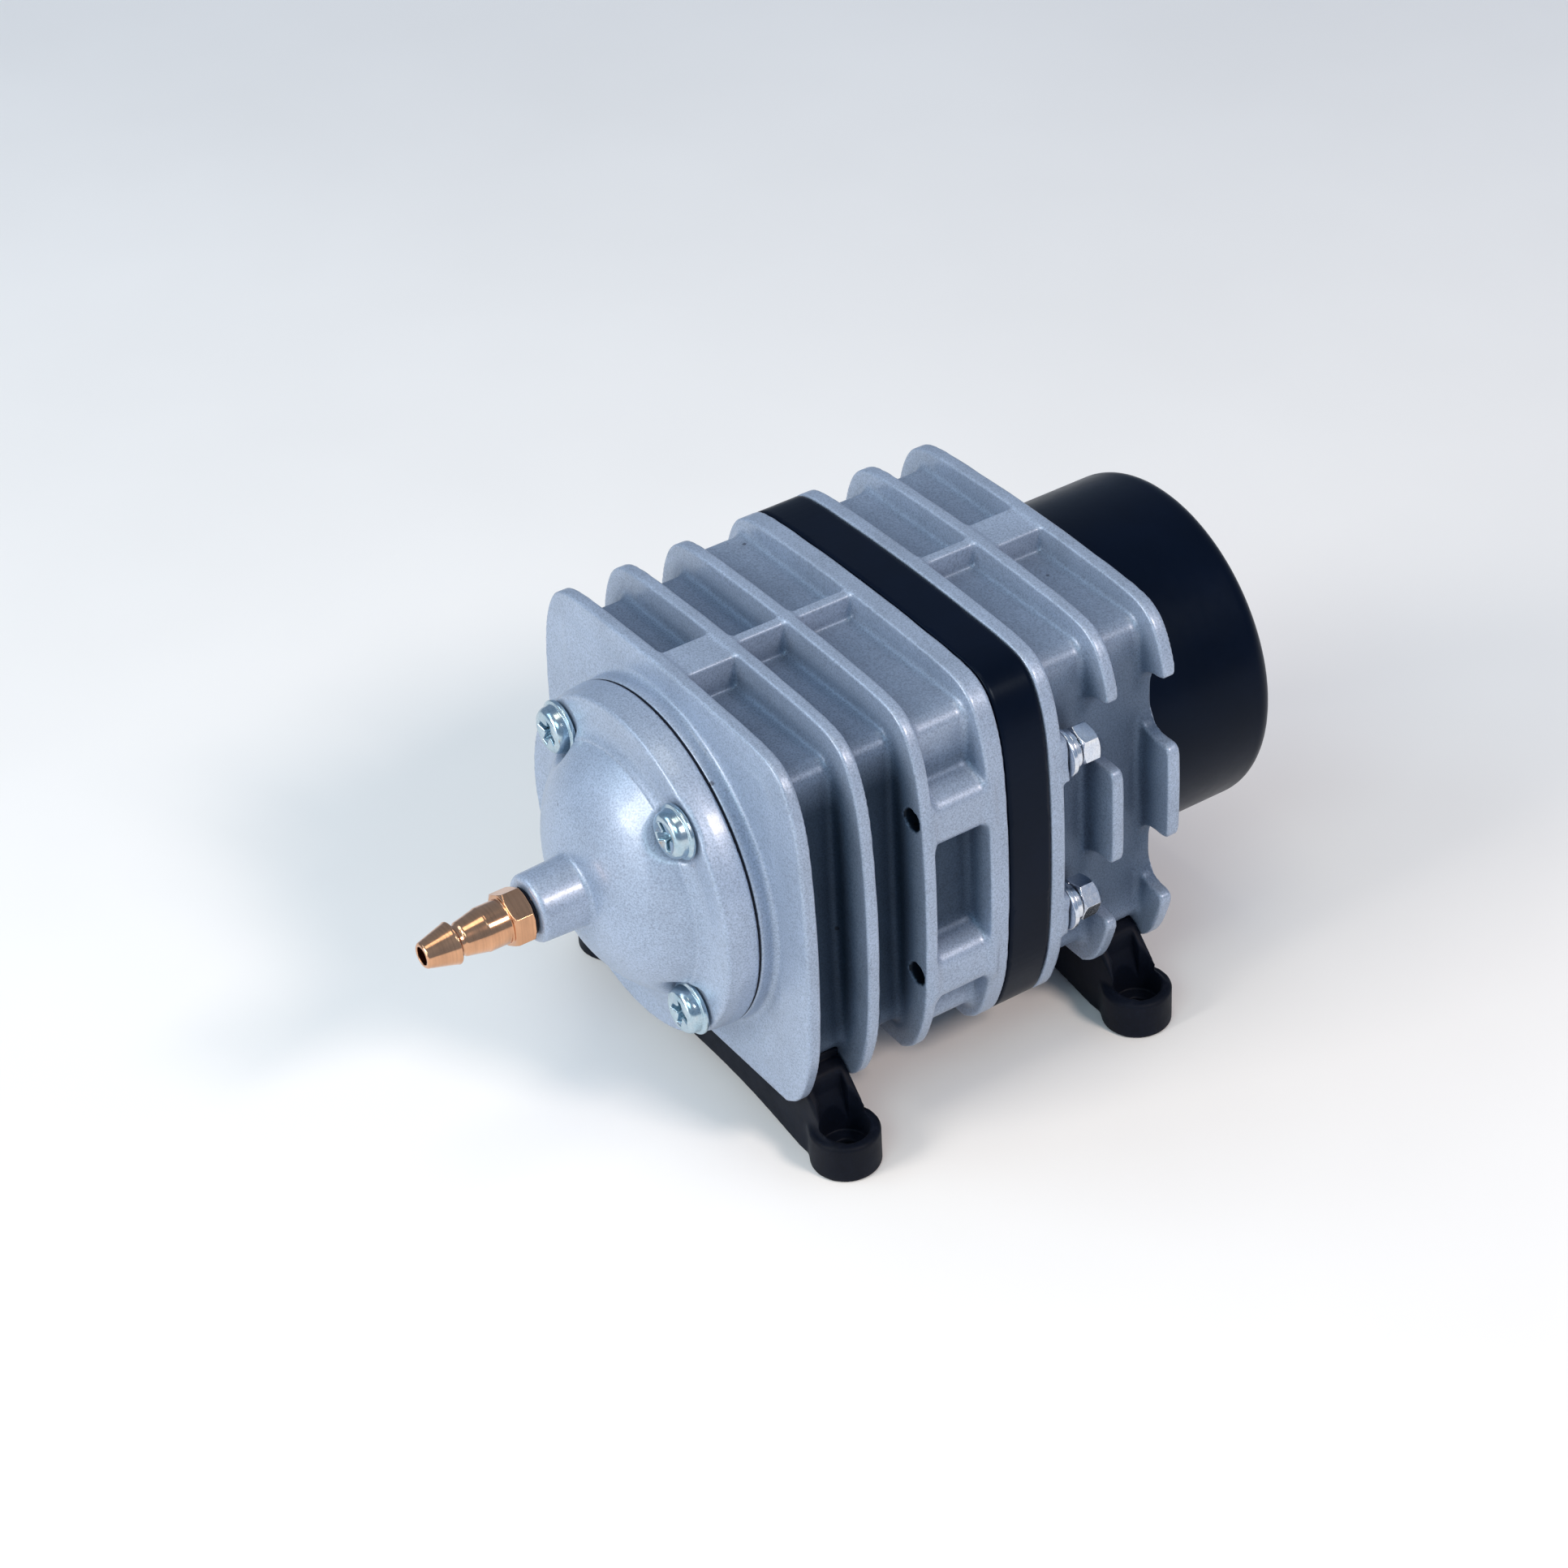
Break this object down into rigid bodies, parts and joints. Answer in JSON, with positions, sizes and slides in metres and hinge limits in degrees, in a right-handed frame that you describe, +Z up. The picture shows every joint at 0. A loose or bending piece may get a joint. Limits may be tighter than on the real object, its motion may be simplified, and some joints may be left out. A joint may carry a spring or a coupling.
{
  "type": "air pump",
  "caption": "Electromagnetic piston air pump: finned cast housing with a black spacer, domed cylinder head, brass hose nozzle, black rear cap and rubber feet.",
  "frame": {"origin": "on the ground, under the middle of the whole pump's length and width", "axes": "+Z up, the pump's axis along Y at z = 0.058 m, hose nozzle towards -Y, rear cap towards +Y, the cord gland on the -X side"},
  "size_m": [0.106, 0.1878, 0.1022],
  "materials": {
    "housing_paint": "blue-grey paint on blasted cast aluminium, satin",
    "black_plastic": "satin moulded plastic, blue-black",
    "black_rubber": "dull moulded rubber, blue-black",
    "brass": "turned, bright, coppery",
    "zinc_plate": "bright blue-white zinc plating",
    "steel": "ground steel",
    "spring_steel": "drawn wire",
    "bare_aluminium": "turned",
    "bronze": "sintered, oiled",
    "lamination": "stacked silicon steel, edges bare",
    "enamelled_copper": "enamelled wire",
    "bobbin_plastic": "natural nylon",
    "ptfe": "waxy",
    "silicone_rubber": "dull",
    "felt": "pressed wool felt"
  },
  "bodies": {
    "pump_body": {"front_housing": "housing_paint", "rear_housing": "housing_paint", "centre_spacer": "black_plastic", "cylinder_head": "housing_paint", "head_gasket": "black_rubber", "outlet_nozzle": "brass", "nozzle_seal": "black_rubber", "head_screw_1": "zinc_plate", "head_screw_2": "zinc_plate", "head_screw_3": "zinc_plate", "head_screw_4": "zinc_plate", "tie_bolt_1": "zinc_plate", "spring_washer_1": "zinc_plate", "flat_washer_1": "zinc_plate", "tie_bolt_2": "zinc_plate", "spring_washer_2": "zinc_plate", "flat_washer_2": "zinc_plate", "tie_bolt_3": "zinc_plate", "spring_washer_3": "zinc_plate", "flat_washer_3": "zinc_plate", "tie_bolt_4": "zinc_plate", "spring_washer_4": "zinc_plate", "flat_washer_4": "zinc_plate", "rear_cap": "black_plastic", "cap_screw": "zinc_plate", "felt_filter": "felt", "front_foot": "black_rubber", "front_foot_screw_left": "zinc_plate", "front_foot_screw_right": "zinc_plate", "rear_foot": "black_rubber", "rear_foot_screw_left": "zinc_plate", "rear_foot_screw_right": "zinc_plate", "valve_plate": "bare_aluminium", "outlet_spring": "spring_steel", "liner_seal": "black_rubber", "cylinder_liner": "bare_aluminium", "return_spring": "spring_steel", "rod_bush": "bronze", "core_left": "lamination", "bobbin_left": "bobbin_plastic", "winding_left": "enamelled_copper", "core_right": "lamination", "bobbin_right": "bobbin_plastic", "winding_right": "enamelled_copper", "core_screw_1": "steel", "core_screw_2": "steel", "core_screw_3": "steel", "core_screw_4": "steel", "terminal_block": "bobbin_plastic", "cord_gland": "black_plastic", "gland_nut": "black_plastic"},
    "piston_assembly": {"piston": "bare_aluminium", "piston_ring": "ptfe", "inlet_valve_screw": "steel", "piston_rod": "steel", "armature": "lamination"},
    "inlet_valve_disc": {"inlet_valve": "silicone_rubber"},
    "outlet_valve_disc": {"outlet_valve": "silicone_rubber"}
  },
  "joints": [
    {"name": "piston_stroke", "type": "slide", "parent": "pump_body", "child": "piston_assembly", "axis": [0, 1, 0], "range_m": [-0.0045, 0.0045], "stiffness_N_per_m": 8000, "deforming": ["return_spring"]},
    {"name": "inlet_valve_lift", "type": "slide", "parent": "piston_assembly", "child": "inlet_valve_disc", "axis": [0, -1, 0], "range_m": [0, 0.001]},
    {"name": "outlet_valve_lift", "type": "slide", "parent": "pump_body", "child": "outlet_valve_disc", "axis": [0, -1, 0], "range_m": [0, 0.0012], "stiffness_N_per_m": 80, "deforming": ["outlet_spring"]}
  ]
}
